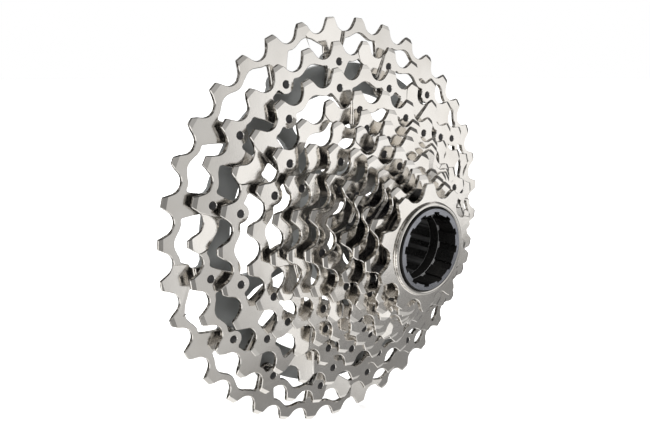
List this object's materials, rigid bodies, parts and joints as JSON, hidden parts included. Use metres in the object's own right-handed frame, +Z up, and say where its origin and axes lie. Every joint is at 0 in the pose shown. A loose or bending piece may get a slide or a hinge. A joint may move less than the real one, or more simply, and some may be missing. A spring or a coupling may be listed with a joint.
{
  "type": "cassette sprocket",
  "caption": "Bicycle rear cassette: nested steel cogs joined by rivet pins on a spoked, splined carrier, with a lock tube that turns freely in the smallest cogs.",
  "frame": {"origin": "on the axle line at the largest cog's back face, inside the carrier's register bore", "axes": "+Y along the axle line towards the carrier's back, so the smallest cog is towards -Y; +Z up and +X to the right as seen from the smallest cog; the axle line is level"},
  "size_m": [0.1472, 0.0451, 0.1472],
  "materials": {
    "cog_steel": "nickel-plated steel, satin to bright",
    "pin_steel": "blackened steel, satin",
    "collar_black": "black anodised, gloss",
    "carrier_grey": "dark grey anodised, matte",
    "tube_black": "black anodised, gloss",
    "washer": "matte bearing plastic"
  },
  "bodies": {
    "cassette": {"cog_36t": "cog_steel", "cog_32t": "cog_steel", "cog_28t": "cog_steel", "cog_24t": "cog_steel", "cog_21t": "cog_steel", "cog_19t": "cog_steel", "cog_17t": "cog_steel", "cog_15t": "cog_steel", "cog_13t": "cog_steel", "cog_12t": "cog_steel", "cog_11t": "cog_steel", "cog_10t": "cog_steel", "pins_36_32": "pin_steel", "pins_32_28": "pin_steel", "pins_28_24": "pin_steel", "pins_24_21": "pin_steel", "pins_21_19": "pin_steel", "pins_19_17": "pin_steel", "pins_17_15": "pin_steel", "pins_15_13": "pin_steel", "pins_13_12": "pin_steel", "pins_12_11": "pin_steel", "pins_11_10": "pin_steel", "collar_13_12": "collar_black", "collar_12_11": "collar_black", "carrier": "carrier_grey", "front_thrust_washer": "washer", "rear_thrust_washer": "washer"},
    "lock_tube": {"lock_tube": "tube_black"}
  },
  "joints": [
    {"name": "lock_tube_spin", "type": "hinge", "parent": "cassette", "child": "lock_tube", "pos_m": [0, -0.03, 0], "axis": [0, 1, 0], "continuous": true}
  ]
}
